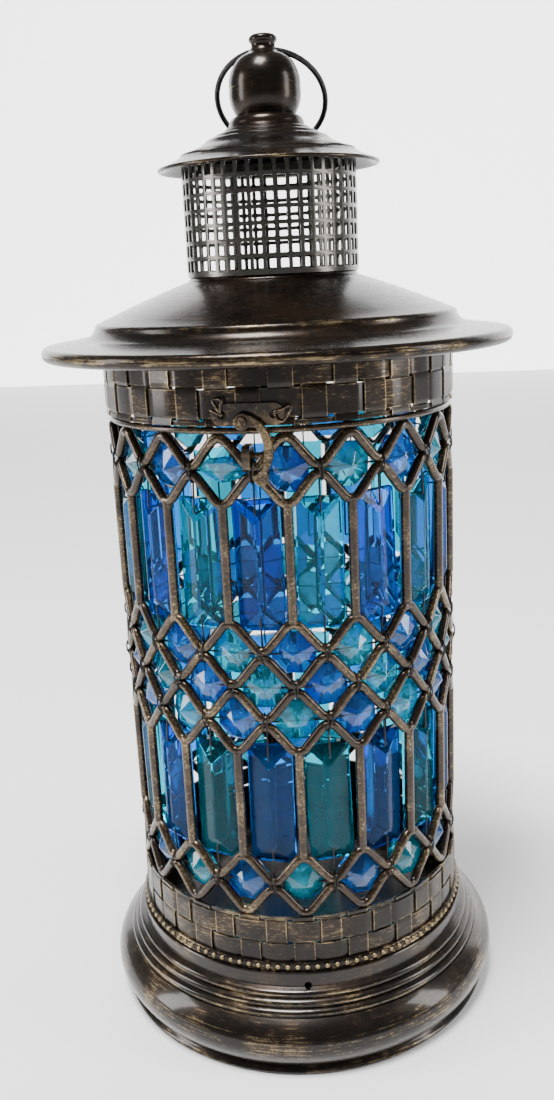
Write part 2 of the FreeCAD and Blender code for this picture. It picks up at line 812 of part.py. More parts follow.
def save(name, shape):
    """Write one piece, or one group of like pieces, and say what it holds."""
    valid = shape.isValid() and all(solid.Volume > 0 for solid in shape.Solids)
    print(f"{name:22s} solids {len(shape.Solids):3d} volume {shape.Volume:10.1f} valid {valid}")
    shape.exportStep(f"parts/{name}.step")


os.makedirs("parts", exist_ok=True)

save("base_shell", base_shell())
save("floor_pan", floor_pan())
save("lower_band", lower_band())
save("trim_strip", trim_strip())
for index in range(1, len(valleys) + 1):
    save(f"zigzag_wire_{index}", zigzag_wire(index))
save("upper_bars", bars(3, 2))
save("lower_bars", bars(7, 6))
save("top_ring", top_ring())

for name, low_wire in (("upper", 3), ("lower", 7)):
    blue, teal = colours(window_angles())
    save(f"prisms_{name}_blue", ring_of(prism(low_wire), blue))
    save(f"prisms_{name}_teal", ring_of(prism(low_wire), teal))
    save(f"prism_ties_{name}", ring_of(prism_tie(low_wire), window_angles()))

for row in range(1, 6):
    z, angles = bead_row(row)
    blue, teal = colours(angles) if row < 3 else reversed(colours(angles))
    save(f"beads_{row}_blue", ring_of(bead(z), blue))
    save(f"beads_{row}_teal", ring_of(bead(z), teal))
    save(f"bead_tie_{row}", bead_tie(row))

save("latch_cross_bar", latch_cross_bar())
save("latch_staple", latch_staple())
save("hinge_body_leaf", hinge_body_leaf())
save("hinge_pin", hinge_pin())

cap_solid = cap()
save("roof", roof())
save("upper_band", upper_band())
save("chimney_screen", chimney_screen())
save("cap", cap_solid)
save("finial", finial())
save("finial_screw", finial_screw())
save("hinge_lid_leaf", hinge_lid_leaf())
save("hinge_rivets", hinge_rivets())
save("latch_plate", latch_plate())
save("latch_rivet", latch_rivet())
save("latch_ties", latch_ties())
save("latch_hook", latch_hook())
save("hanging_ring", hanging_ring(cap_solid))
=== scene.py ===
import math
import random

import bpy
from mathutils import Matrix, Vector


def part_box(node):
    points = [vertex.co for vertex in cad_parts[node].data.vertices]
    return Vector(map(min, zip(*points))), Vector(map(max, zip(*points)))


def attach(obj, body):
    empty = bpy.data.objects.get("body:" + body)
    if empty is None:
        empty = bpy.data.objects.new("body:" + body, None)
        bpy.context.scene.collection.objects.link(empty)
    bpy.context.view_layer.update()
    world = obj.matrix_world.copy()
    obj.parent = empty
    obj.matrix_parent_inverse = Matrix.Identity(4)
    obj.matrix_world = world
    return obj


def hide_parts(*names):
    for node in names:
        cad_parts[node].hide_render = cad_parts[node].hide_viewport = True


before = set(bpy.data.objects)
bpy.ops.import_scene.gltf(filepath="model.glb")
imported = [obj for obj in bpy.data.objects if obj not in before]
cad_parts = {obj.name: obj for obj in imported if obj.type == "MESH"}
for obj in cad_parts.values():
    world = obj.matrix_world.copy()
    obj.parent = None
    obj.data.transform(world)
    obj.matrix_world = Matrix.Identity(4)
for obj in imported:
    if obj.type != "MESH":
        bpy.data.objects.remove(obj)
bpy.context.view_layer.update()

bl_info = {
    "name": "Jewelled candle lantern",
    "version": (1, 0, 0),
    "blender": (4, 5, 0),
    "location": "3D View > Sidebar > Lantern",
    "description": "Dresses a round candle lantern: spun metal, woven bands and acrylic jewels",
    "category": "Object",
}

MM = 0.001
UPRIGHT = (math.pi / 2, 0, 0)

# Photograph: its height in pixels, and the focal length, place and lean of its camera
PHOTO_HEIGHT = 1100
FOCAL_PIXELS = 1042.6
CAMERA_PLACE = Vector((55.5, -350.6, 256.4)) * MM
CAMERA_PITCH = math.radians(-15.016)
CAMERA_YAW = math.radians(-9.525)
CAMERA_ROLL = math.radians(-2.80)
SENSOR = 36.0
NEAREST_SEEN = 0.01

# Studio: floor, lit backdrop, dim room, and lights by name, place, width, height and power
FLOOR_WIDTH = 12.0
BACKDROP_PLACE = (0, 2.2, 0.9)
BACKDROP_SIZE = (6.0, 2.0, 1.0)
BACKDROP_GLOW = 3.2
ROOM_GLOW = 0.26
LIGHT_AIM = Vector((0, 0, 0.16))
LIGHTS = (
    ("ceiling", (-0.2, -0.5, 2.0), 0.6, 0.6, 85.0),
    ("left window", (-0.8, -0.25, 0.4), 0.2, 0.6, 6.0),
    ("right window", (0.8, -0.1, 0.4), 0.2, 0.6, 5.0),
)

# The lattice repeats eighteen times round the lantern, and the middle row of beads is half a step off
COLUMNS = 18
COLUMN_STEP = 2 * math.pi / COLUMNS
BEAD_ROWS = 5
MIDDLE_ROW = 3

# Distances under which points of a mesh are one point
DOUBLES = 1e-6
OUTLINE_DOUBLES = 1e-7


def low(node):
    """Lowest corner of a solid."""
    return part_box(node)[0]


def high(node):
    """Highest corner of a solid."""
    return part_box(node)[1]


def middle(node):
    """Height of the middle of a solid."""
    return (low(node).z + high(node).z) / 2


def reach(node):
    """Greatest distance of a solid from the lantern's axis."""
    return max(math.hypot(v.co.x, v.co.y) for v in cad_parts[node].data.vertices)


CAGE_RADIUS = high("lower_band").x


# Settings that a user would change

def size(name, description, millimetres):
    """A length setting."""
    return bpy.props.FloatProperty(name=name, description=description, default=millimetres * MM,
                                   min=0.0, unit="LENGTH", precision=5)


def tint(name, description, colour):
    """A colour setting."""
    return bpy.props.FloatVectorProperty(name=name, description=description, default=colour,
                                         min=0.0, max=1.0, subtype="COLOR", size=3)


class LanternSizes(bpy.types.PropertyGroup):
    """Sizes of the details that the solids leave plain."""
    strip_wall: size("Strip thickness", "Sheet thickness of the woven strips", 0.45)
    strip_gap: size("Strip gap", "Gap between neighbouring upright strips", 2.2)
    row_gap: size("Row gap", "Gap between neighbouring level strips", 0.9)
    weave_lift: size("Weave lift", "How far a strip stands over the one it crosses", 0.55)
    dome_width: size("Dome width", "Width of a dome of the beaded trim", 1.8)
    edge_round: size("Edge rounding", "Rounding of the latch's edges", 0.25)
    facet_edge: size("Facet edge", "Width of the polished edge between facets", 0.12)
    tie_width: size("Tie width", "Thickness of the bent wires that tie the latch on", 0.95)
    dome_count: bpy.props.IntProperty(name="Domes", description="Domes round the trim", default=112, min=12)


class LanternColours(bpy.types.PropertyGroup):
    """Colours of the finishes."""
    bronze: tint("Bronze", "Dark antiqued bronze", (0.0085, 0.0064, 0.0050))
    umber: tint("Umber", "Warm brown that shows through the bronze", (0.024, 0.0145, 0.009))
    gold: tint("Gold", "Gold rubbed on the edges", (0.25, 0.185, 0.098))
    caramel: tint("Caramel", "Worn bronze of the cage wires", (0.060, 0.040, 0.022))
    pewter: tint("Pewter", "Worn chimney sheet", (0.085, 0.08, 0.072))
    brass: tint("Brass", "Latch and rivet", (0.11, 0.070, 0.034))
    black: tint("Black wire", "Ring and tie wires", (0.012, 0.011, 0.011))
    blue: tint("Blue jewel", "Royal blue acrylic", (0.0, 0.15, 0.52))
    teal: tint("Teal jewel", "Teal acrylic", (0.0, 0.345, 0.475))
    floor: tint("Floor", "Pale studio floor", (0.90, 0.90, 0.90))


# Shader expressions

class Wire:
    """Output of a shader node that takes part in Python expressions."""

    def __init__(self, paint, socket):
        self.paint = paint
        self.socket = socket

    def math(self, operation, first, second):
        return self.paint.node("Math", {"operation": operation}, {0: first, 1: second})

    def __add__(self, other):
        return self.math("ADD", self, other)

    def __sub__(self, other):
        return self.math("SUBTRACT", self, other)

    def __rsub__(self, other):
        return self.math("SUBTRACT", other, self)

    def __mul__(self, other):
        return self.math("MULTIPLY", self, other)

    __radd__ = __add__
    __rmul__ = __mul__


class Paint:
    """One material and the nodes that make it."""

    def __init__(self, name):
        self.material = bpy.data.materials.new(name)
        self.material.use_nodes = True
        self.tree = self.material.node_tree
        self.tree.nodes.clear()
        self.place = self.node("TexCoord", output="Object")

    def node(self, kind, settings=None, inputs=None, output=0):
        """Add a node: its settings first, then the values or links of its sockets."""
        node = self.tree.nodes.new("ShaderNode" + kind)
        for name, value in (settings or {}).items():
            setattr(node, name, value)
        for key, value in (inputs or {}).items():
            if isinstance(value, Wire):
                self.tree.links.new(value.socket, node.inputs[key])
            else:
                node.inputs[key].default_value = value
        return Wire(self, node.outputs[output])

    def noise(self, scale, stretch=(1, 1, 1), detail=3.0, roughness=0.55):
        """Cloudy pattern, with a number of features per metre, stretched along the axes."""
        vector = self.node("Mapping", inputs={"Vector": self.place, "Scale": stretch})
        return self.node("TexNoise", inputs={"Vector": vector, "Scale": scale, "Detail": detail,
                                             "Roughness": roughness})

    def step(self, value, start, end):
        """Smooth step from 0 at the start to 1 at the end."""
        return self.node("MapRange", {"interpolation_type": "SMOOTHSTEP"},
                         {"Value": value, "From Min": start, "From Max": end})

    def mix(self, factor, first, second):
        """Colour between two colours."""
        pair = [value if isinstance(value, Wire) else (*value, 1.0) for value in (first, second)]
        return self.node("Mix", {"data_type": "RGBA"}, {0: factor, 6: pair[0], 7: pair[1]}, output=2)

    def kept(self, name):
        """A value kept on the mesh."""
        return self.node("Attribute", {"attribute_name": name}, output="Fac")

    def bump(self, height, distance):
        """Fine relief."""
        return self.node("Bump", inputs={"Height": height, "Distance": distance, "Strength": 1.0})

    def surface(self, **inputs):
        """Principled surface with these sockets, by their names with underscores."""
        values = {name.replace("_", " "): value for name, value in inputs.items()}
        shader = self.node("BsdfPrincipled", inputs=values, output="BSDF")
        end = self.tree.nodes.new("ShaderNodeOutputMaterial")
        self.tree.links.new(shader.socket, end.inputs["Surface"])
        return self.material


# Finishes

def antiqued(name, dark, warm, gold, wear, grain, sheen=0.15, gloss=0.22):
    """Dark metal with brushed streaks, warm patches and gold rubbed on its edges."""
    paint = Paint(name)
    relief = 0.04 * MM
    streak = paint.noise(1.0, grain, detail=5.0, roughness=0.65)
    cloud = paint.noise(70.0, detail=2.0)
    fleck = paint.noise(1500.0, detail=2.0)
    scuff = paint.noise(380.0, (1, 1, 2.5), detail=4.0, roughness=0.7)
    worn = streak * 0.50 + cloud * 0.30 + scuff * 0.20
    gilt = paint.step(worn + paint.kept("rub") * 0.28 + fleck * 0.10, 0.64 - wear, 0.76 - wear)
    brown = paint.mix(paint.step(cloud * 0.6 + scuff * 0.4, 0.42, 0.62), dark, warm)
    colour = paint.mix(gilt, brown, gold)
    roughness = gloss + streak * 0.18 + scuff * 0.10
    normal = paint.bump(streak * 0.5 + scuff * 0.5, relief)
    return paint.surface(Base_Color=colour, Metallic=0.7 + gilt * 0.2, Roughness=roughness, Normal=normal,
                         Coat_Weight=sheen, Coat_Roughness=0.10, Specular_IOR_Level=0.3)


def bright_metal(name, dark, colour, tarnish, gloss):
    """Worn bright metal with tarnish in patches."""
    paint = Paint(name)
    relief = 0.03 * MM
    cloud = paint.noise(160.0, detail=4.0, roughness=0.65)
    scratch = paint.noise(1.0, (500, 500, 2600), detail=3.0)
    dull = cloud * 0.7 + scratch * 0.3 - paint.kept("rub") * 0.2
    tone = paint.mix(paint.step(dull, 0.60 - tarnish, 0.74 - tarnish), colour, dark)
    normal = paint.bump(scratch, relief)
    return paint.surface(Base_Color=tone, Metallic=0.92, Roughness=gloss + cloud * 0.22, Normal=normal)


def black_wire(name, colour):
    """Satin black wire with a little dust of wear."""
    paint = Paint(name)
    wear = paint.noise(700.0, detail=3.0)
    dusty = [4.0 * c for c in colour]
    tone = paint.mix(paint.step(wear, 0.52, 0.72), colour, dusty)
    return paint.surface(Base_Color=tone, Metallic=0.5, Roughness=0.32 + wear * 0.2)


def acrylic(name, colour, clearness, coat, light):
    """Clear tinted acrylic with painted light and shade: each facet is painted at its own point between a
    shaded and a lit, whitened copy of the tint, with faint flow lines.
    """
    paint = Paint(name)
    flow = paint.noise(120.0, (1, 1, 0.4), detail=2.0)
    # Painted shade and painted light: a darkened copy and a lightened, whitened copy of the tint, picked
    # per facet by its stored value and the flow lines.
    shaded_facet_tint = [0.45 * light * c for c in colour]
    lit_facet_tint = [1.25 * light * c + 0.02 for c in colour]
    tone = paint.mix(paint.step(paint.kept("facet") * 0.75 + flow * 0.5, 0.15, 1.1), shaded_facet_tint, lit_facet_tint)
    return paint.surface(Base_Color=tone, Roughness=flow * 0.02, Transmission_Weight=clearness, IOR=1.17,
                         Coat_Weight=coat, Coat_Roughness=0.02)


def plain_floor(name, colour, glow):
    """Matt studio floor, or a backdrop lit from inside."""
    paint = Paint(name)
    tone = paint.mix(paint.noise(40.0), colour, [0.985 * c for c in colour])
    return paint.surface(Base_Color=tone, Roughness=0.85, Emission_Color=tone, Emission_Strength=glow)


# Brush marks per metre along each axis
BRUSHED_ROUND = (70, 70, 2600)
BRUSHED_STRIP = (260, 260, 4200)
BRUSHED_ALONG = (420, 420, 420)
BRUSHED_FINE = (1500, 1500, 1500)


def finish(name):
    """The finish of this name, made once."""
    if name in bpy.data.materials:
        return bpy.data.materials[name]
    tone = bpy.context.scene.lantern_colours
    bronze = (tone.bronze, tone.umber, tone.gold)
    wire = (tone.umber, tone.caramel, tone.gold)
    plate = (tone.bronze, tone.brass, tone.gold)
    hook = (tone.umber, tone.brass, tone.gold)
    makers = {
        "spun bronze": lambda: antiqued(name, *bronze, 0.025, BRUSHED_ROUND, sheen=0.4, gloss=0.16),
        "roof bronze": lambda: antiqued(name, *bronze, -0.03, BRUSHED_ROUND, sheen=0.12, gloss=0.12),
        "woven bronze": lambda: antiqued(name, *bronze, 0.055, BRUSHED_STRIP, sheen=0.25),
        "cage bronze": lambda: antiqued(name, *wire, 0.06, BRUSHED_FINE, sheen=0.35, gloss=0.15),
        "gilt trim": lambda: antiqued(name, *bronze, 0.16, BRUSHED_ALONG),
        "latch bronze": lambda: antiqued(name, *plate, 0.08, BRUSHED_ALONG, sheen=0.5, gloss=0.10),
        "latch brass": lambda: antiqued(name, *hook, 0.10, BRUSHED_FINE, sheen=0.4, gloss=0.08),
        "pewter": lambda: bright_metal(name, tone.bronze, tone.pewter, tarnish=0.08, gloss=0.16),
        "black wire": lambda: black_wire(name, tone.black),
        "blue prism": lambda: acrylic(name, tone.blue, clearness=0.94, coat=0.1, light=1.45),
        "teal prism": lambda: acrylic(name, tone.teal, clearness=0.94, coat=0.1, light=1.45),
        "blue bead": lambda: acrylic(name, tone.blue, clearness=0.70, coat=0.9, light=1.0),
        "teal bead": lambda: acrylic(name, tone.teal, clearness=0.70, coat=0.9, light=1.1),
        "floor": lambda: plain_floor(name, tone.floor, 0.0),
        "lit backdrop": lambda: plain_floor(name, tone.floor, BACKDROP_GLOW),
    }
    return makers[name]()


def paint_nodes(name, *nodes):
    """Give solids that stay their finish."""
    for node in nodes:
        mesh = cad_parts[node].data
        mesh.materials.clear()
        mesh.materials.append(finish(name))


# Modelling, as by hand

def deselect():
    """Clear the selection, as before a primitive is added."""
    if bpy.context.mode != "OBJECT":
        bpy.ops.object.mode_set(mode="OBJECT")
    bpy.ops.object.select_all(action="DESELECT")


def only(piece):
    """Select one object and nothing else."""
    deselect()
    piece.select_set(True)
    bpy.context.view_layer.objects.active = piece


def edit(piece, mode="FACE", action="DESELECT"):
    """Go to edit mode with nothing selected, or with everything."""
    only(piece)
    bpy.ops.object.mode_set(mode="EDIT")
    bpy.ops.mesh.select_mode(type=mode)
    bpy.ops.mesh.select_all(action=action)


def choose(piece, kind, test):
    """Select the faces or vertices that pass a test, in edit mode."""
    edit(piece, "FACE" if kind == "polygons" else "VERT")
    bpy.ops.object.mode_set(mode="OBJECT")
    for item in getattr(piece.data, kind):
        item.select = test(item)
    bpy.ops.object.mode_set(mode="EDIT")


def done(piece):
    """Leave edit mode."""
    bpy.ops.object.mode_set(mode="OBJECT")
    return piece


def tidy(piece):
    """Merge doubles and turn the faces outwards."""
    edit(piece, action="SELECT")
    bpy.ops.mesh.remove_doubles(threshold=DOUBLES)
    bpy.ops.mesh.normals_make_consistent(inside=False)
    return done(piece)


def cut(piece, place, normal, **settings):
    """Cut a mesh along a plane."""
    edit(piece, action="SELECT")
    bpy.ops.mesh.bisect(plane_co=place, plane_no=normal, **settings)
    return done(piece)


def modify(piece, kind, **settings):
    """Add a modifier and apply it."""
    only(piece)
    bpy.ops.object.modifier_add(type=kind)
    modifier = piece.modifiers[-1]
    for name, value in settings.items():
        setattr(modifier, name, value)
    bpy.ops.object.modifier_apply(modifier=modifier.name)
    return piece


def settle(piece):
    """Put the object's place, turn and scale into its mesh."""
    only(piece)
    bpy.ops.object.transform_apply(location=True, rotation=True, scale=True)
    return piece


def around(piece, count):
    """Repeat a piece evenly round the axis."""
    deselect()
    bpy.ops.object.empty_add(location=(0, 0, 0), rotation=(0, 0, 2 * math.pi / count))
    turn = bpy.context.object
    modify(piece, "ARRAY", count=count, use_relative_offset=False, use_object_offset=True,
           offset_object=turn)
    bpy.data.objects.remove(turn)
    return piece


def drilled(piece, radius, depth, sides, place, turn):
    """Drill a round hole."""
    deselect()
    bpy.ops.mesh.primitive_cylinder_add(vertices=sides, radius=radius, depth=depth, location=place,
                                        rotation=turn)
    drill = settle(bpy.context.object)
    modify(piece, "BOOLEAN", operation="DIFFERENCE", object=drill, solver="EXACT")
    bpy.data.objects.remove(drill)
    return piece


def join(pieces):
    """Make several meshes one piece."""
    only(pieces[0])
    for piece in pieces:
        piece.select_set(True)
    bpy.ops.object.join()
    return bpy.context.object


def copies(piece, places):
    """Copies of a piece with their places in their meshes; the pattern itself is removed."""
    made = []
    for place in places:
        copy = piece.copy()
        copy.data = piece.data.copy()
        copy.data.transform(place)
        bpy.context.scene.collection.objects.link(copy)
        made.append(copy)
    bpy.data.objects.remove(piece)
    return made


def solid_copy(node):
    """Copy of a solid's mesh with its triangles merged into clean faces."""
    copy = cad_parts[node].copy()
    copy.data = copy.data.copy()
    copy.parent = None
    for key in list(copy.keys()):
        del copy[key]
    bpy.context.scene.collection.objects.link(copy)
    edit(copy, action="SELECT")
    bpy.ops.mesh.remove_doubles(threshold=DOUBLES)
    bpy.ops.mesh.dissolve_limited(angle_limit=math.radians(1.0))
    return done(copy)


def keep_rub(piece, amount):
    """Store on each vertex how much it is rubbed."""
    mesh = piece.data
    layer = mesh.attributes.get("rub") or mesh.attributes.new("rub", "FLOAT", "POINT")
    layer.data.foreach_set("value", [amount(v.co) for v in mesh.vertices])
    return piece


def keep_facet_light_and_shade(piece, chance):
    """Store on each facet a random share of painted light against painted shade."""
    layer = piece.data.attributes.new("facet", "FLOAT", "FACE")
    layer.data.foreach_set("value", [chance.random() for _ in piece.data.polygons])
    return piece


def hand_over(piece, name, body, material, nodes, smooth=30.0):
    """Name a finished piece, give it its finish and its body, and hide the solids it stands for."""
    piece.name = name
    piece.data.name = name
    only(piece)
    if smooth:
        bpy.ops.object.shade_smooth_by_angle(angle=math.radians(smooth))
    else:
        bpy.ops.object.shade_flat()
    piece.data.materials.clear()
    piece.data.materials.append(finish(material))
    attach(piece, body)
    if nodes:
        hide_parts(*nodes)


def ease(value):
    """Smooth step of a value from 0 to 1."""
    value = max(0.0, min(1.0, value))
    return value * value * (3 - 2 * value)


# Turned pieces, from outlines whose points are a radius and a height

def bow(start, end, rise, steps=8):
    """Points after the start of a round stretch from start to end that stands out to the left by a rise."""
    chord = Vector(end) - Vector(start)
    out = Vector((-chord.y, chord.x)).normalized()
    points = []
    for k in range(1, steps + 1):
        share = k / steps
        points.append(tuple(Vector(start) + chord * share + out * rise * 4 * share * (1 - share)))
    return points


def circle(centre, radius, start, end, steps):
    """Points of a round stretch about a centre, between two angles in degrees."""
    points = []
    for k in range(steps + 1):
        angle = math.radians(start + (end - start) * k / steps)
        points.append((centre[0] + radius * math.cos(angle), centre[1] + radius * math.sin(angle)))
    return points


def within(point, wall):
    """The point of an inner face that lies a wall in and below a point of the outer face."""
    return (point[0] - wall, point[1] - wall)


def polyline(points):
    """Line drawn point by point from one vertex."""
    deselect()
    bpy.ops.mesh.primitive_plane_add(size=MM)
    piece = bpy.context.object
    edit(piece, "VERT", "SELECT")
    bpy.ops.mesh.merge(type="CENTER")
    bpy.ops.transform.translate(value=points[0])
    for last, point in zip(points, points[1:]):
        move = [end - start for start, end in zip(last, point)]
        bpy.ops.mesh.extrude_vertices_move(TRANSFORM_OT_translate={"value": move})
    return done(piece)


def spun(points, steps=144):
    """Closed outline, drawn point by point and spun round the axis."""
    piece = polyline([(radius, 0, z) for radius, z in points + points[:1]])
    edit(piece, "VERT", "SELECT")
    bpy.ops.mesh.remove_doubles(threshold=OUTLINE_DOUBLES)
    bpy.ops.mesh.select_all(action="SELECT")
    bpy.ops.mesh.spin(steps=steps, angle=2 * math.pi, center=(0, 0, 0), axis=(0, 0, 1))
    done(piece)
    return tidy(piece)


def bent_wire(points, thickness):
    """Round wire bent through points."""
    only(polyline(points))
    bpy.ops.object.convert(target="CURVE")
    line = bpy.context.object.data
    line.splines[0].type = "NURBS"
    line.splines[0].use_endpoint_u = True
    line.splines[0].order_u = 3
    line.resolution_u = 4
    line.bevel_depth = thickness / 2
    line.bevel_resolution = 2
    line.use_fill_caps = True
    bpy.ops.object.convert(target="MESH")
    return tidy(bpy.context.object)


def near(spots):
    """Rubbing that fades with the distance from spots of radius, height, reach and strength."""
    def amount(co):
        radius = math.hypot(co.x, co.y)
        total = 0.0
        for spot_radius, spot_z, spread, strength in spots:
            away = math.hypot(radius - spot_radius, co.z - spot_z) / spread
            total += strength * math.exp(-away * away)
        return min(total, 1.0)
    return amount


class LANTERN_OT_base(bpy.types.Operator):
    """Spun base with its foot, big roll, fine ridges, neck and neck hole"""
    bl_idname = "lantern.base"
    bl_label = "Spun base"

    ridges = 3
    ridge_rise = 2.55 * MM
    ridge_run = 1.55 * MM
    ridge_step = 0.35 * MM
    ridge_bulge = 0.75 * MM
    roll_bulge = 4.7 * MM
    hollow_bulge = 4.0 * MM
    wall = 1.4 * MM
    hole_radius = 1.25 * MM
    hole_depth = 9.0 * MM
    hole_z = 28.3 * MM
    hole_angle = math.radians(9.5)

    def execute(self, context):
        top = high("base_shell").z
        widest = reach("base_shell")
        neck = CAGE_RADIUS + 2.0 * MM
        foot = widest - 2.4 * MM
        foot_lip = foot - 4.6 * MM
        foot_edge = (foot - 0.6 * MM, 0)
        foot_top = (foot - 0.5 * MM, 1.9 * MM)
        groove = (foot - 1.1 * MM, foot_top[1] + 0.5 * MM)
        roll_start = (foot - 0.9 * MM, 2.9 * MM)
        roll_end = (neck + 0.8 * MM + self.ridges * self.ridge_run, 19.6 * MM)
        points = [(foot_lip, 0), foot_edge]
        points += bow(foot_edge, foot_top, -0.9 * MM)
        points += [groove, roll_start]
        points += bow(roll_start, roll_end, -self.roll_bulge, 20)
        spots = [(widest, 12 * MM, 5 * MM, 0.25), (foot, 1.0 * MM, 1.5 * MM, 0.2)]
        start = roll_end
        for _ in range(self.ridges):
            end = (start[0] - self.ridge_run, start[1] + self.ridge_rise)
            points += [(start[0] - self.ridge_step, start[1])]
            points += bow(points[-1], end, -self.ridge_bulge)
            spots.append((start[0] + 0.2 * MM, start[1] + 1.0 * MM, 0.9 * MM, 0.35))
            start = end
        soft_edge = 0.3 * MM
        points += [(neck, start[1] + 0.4 * MM), (neck, top - soft_edge), (neck - soft_edge, top)]
        seat = CAGE_RADIUS + 0.1 * MM
        ledge = top - 2.0 * MM
        ledge_lip = CAGE_RADIUS - 7.0 * MM
        under_ledge = ledge - self.wall
        points += [(seat, top), (seat, ledge), (ledge_lip, ledge), (ledge_lip, under_ledge)]
        hollow_top = (neck + 3.2 * MM, roll_end[1])
        hollow_foot = (foot - 2.2 * MM, roll_start[1])
        points += [(neck - 2.1 * MM, under_ledge), hollow_top]
        points += bow(hollow_top, hollow_foot, self.hollow_bulge, 10)
        points += [(hollow_foot[0], self.wall), (foot_lip, self.wall)]
        piece = spun(points)
        hole = (neck * math.sin(self.hole_angle), -neck * math.cos(self.hole_angle), self.hole_z)
        drilled(piece, self.hole_radius, self.hole_depth, 20, hole, (math.pi / 2, 0, self.hole_angle))
        keep_rub(piece, near(spots))
        hand_over(piece, "spun_base", "base", "spun bronze", ["base_shell"])
        paint_nodes("roof bronze", "floor_pan")
        return {"FINISHED"}


# Woven bands

class Weave:
    """A band of upright and level strips that pass over and under each other."""

    ramp = 0.8 * MM
    turn_start = 0.72
    turn_length = 0.56
    strip_edge = 0.55 * MM
    row_edge = 0.5 * MM
    rubbed_edge = 0.2 * MM
    strip_points = 10
    least_row = 1.0 * MM

    def __init__(self, node, first_edge, row_pitch, strips):
        sizes = bpy.context.scene.lantern_sizes
        self.bottom = low(node).z
        self.top = high(node).z
        self.pitch = 2 * math.pi / strips
        self.strips = strips
        self.row_pitch = row_pitch
        self.row_gap = sizes.row_gap
        self.half_width = (self.pitch * CAGE_RADIUS - sizes.strip_gap) / 2
        self.wall = sizes.strip_wall
        self.lift = sizes.weave_lift
        self.radius = CAGE_RADIUS - self.lift
        rows_above = int((self.top - first_edge) / row_pitch)
        self.edges = [first_edge + k * row_pitch for k in range(-1, rows_above + 2)]

    def height_over(self, z, parity):
        """1 where an upright strip passes over the level strip at a height, 0 where it passes under."""
        place = (z - self.edges[0]) / self.row_pitch
        row = math.floor(place)
        share = (place - row) * self.row_pitch
        here = (row + parity) % 2
        turn = min(share, self.row_pitch - share) / self.ramp / 2
        return here * ease(0.5 + turn) + (1 - here) * ease(0.5 - turn)

    def around_over(self, co, row):
        """1 where a level strip passes over the upright strip at a point, 0 where it passes under."""
        angle = math.atan2(co.x, -co.y) % (2 * math.pi)
        place = angle / self.pitch + 0.5
        column = math.floor(place)
        share = abs(place - column - 0.5) * 2
        under = (row + column) % 2
        turn = ease((share - self.turn_start) / self.turn_length)
        return (1 - under) * (1 - turn) + under * turn

    def lifted(self, piece, weight):
        """Push the vertices out by their weight, then thicken the strip."""
        group = piece.vertex_groups.new(name="over")
        for v in piece.data.vertices:
            group.add([v.index], weight(v.co), "REPLACE")
        modify(piece, "DISPLACE", strength=self.lift, mid_level=0.0, vertex_group="over")
        modify(piece, "SOLIDIFY", thickness=self.wall, offset=-1.0)
        piece.vertex_groups.clear()

    def upright(self, parity):
        """All the upright strips that pass over the same rows."""
        tall = self.top - self.bottom
        deselect()
        bpy.ops.mesh.primitive_grid_add(x_subdivisions=1, y_subdivisions=int(tall / self.ramp), size=1.0,
                                        location=(0, -self.radius, (self.bottom + self.top) / 2),
                                        rotation=UPRIGHT)
        piece = bpy.context.object
        piece.scale = (2 * self.half_width, tall, 1)
        settle(piece)
        edge = self.half_width - self.strip_edge
        for side in (-1, 1):
            cut(piece, (side * edge, 0, 0), (1, 0, 0))
        self.lifted(piece, lambda co: self.height_over(co.z, parity))
        keep_rub(piece, lambda co: 0.5 if abs(co.x) > edge + self.rubbed_edge else 0.0)
        around(piece, self.strips // 2)
        piece.data.transform(Matrix.Rotation(parity * self.pitch, 4, "Z"))
        return piece

    def level_strip(self, row):
        """One level strip round the band."""
        start = max(self.edges[row] + self.row_gap / 2, self.bottom)
        end = min(self.edges[row + 1] - self.row_gap / 2, self.top)
        deselect()
        bpy.ops.mesh.primitive_cylinder_add(vertices=self.strips * self.strip_points, radius=self.radius,
                                            depth=end - start, end_fill_type="NOTHING",
                                            location=(0, 0, (start + end) / 2))
        piece = settle(bpy.context.object)
        for z in (start + self.row_edge, end - self.row_edge):
            cut(piece, (0, 0, z), (0, 0, 1))
        self.lifted(piece, lambda co: self.around_over(co, row))
        return keep_rub(piece, lambda co: 0.3 if min(co.z - start, end - co.z) < self.rubbed_edge else 0.0)

    def woven(self):
        """The whole band as one piece."""
        strips = [self.upright(0), self.upright(1)]
        for row in range(len(self.edges) - 1):
            below_top = self.edges[row] < self.top - self.least_row
            if below_top and self.edges[row + 1] > self.bottom + self.least_row:
                strips.append(self.level_strip(row))
        return join(strips)


class LANTERN_OT_bands(bpy.types.Operator):
    """Two bands woven from flat metal strips, one on the base and one under the roof"""
    bl_idname = "lantern.bands"
    bl_label = "Woven bands"

    def execute(self, context):
        lower = Weave("lower_band", first_edge=42.8 * MM, row_pitch=8.2 * MM, strips=40)
        hand_over(lower.woven(), "woven_lower_band", "base", "woven bronze", ["lower_band"])
        upper = Weave("upper_band", first_edge=215.4 * MM, row_pitch=9.1 * MM, strips=38)
        hand_over(upper.woven(), "woven_upper_band", "lid", "woven bronze", ["upper_band"])
        return {"FINISHED"}


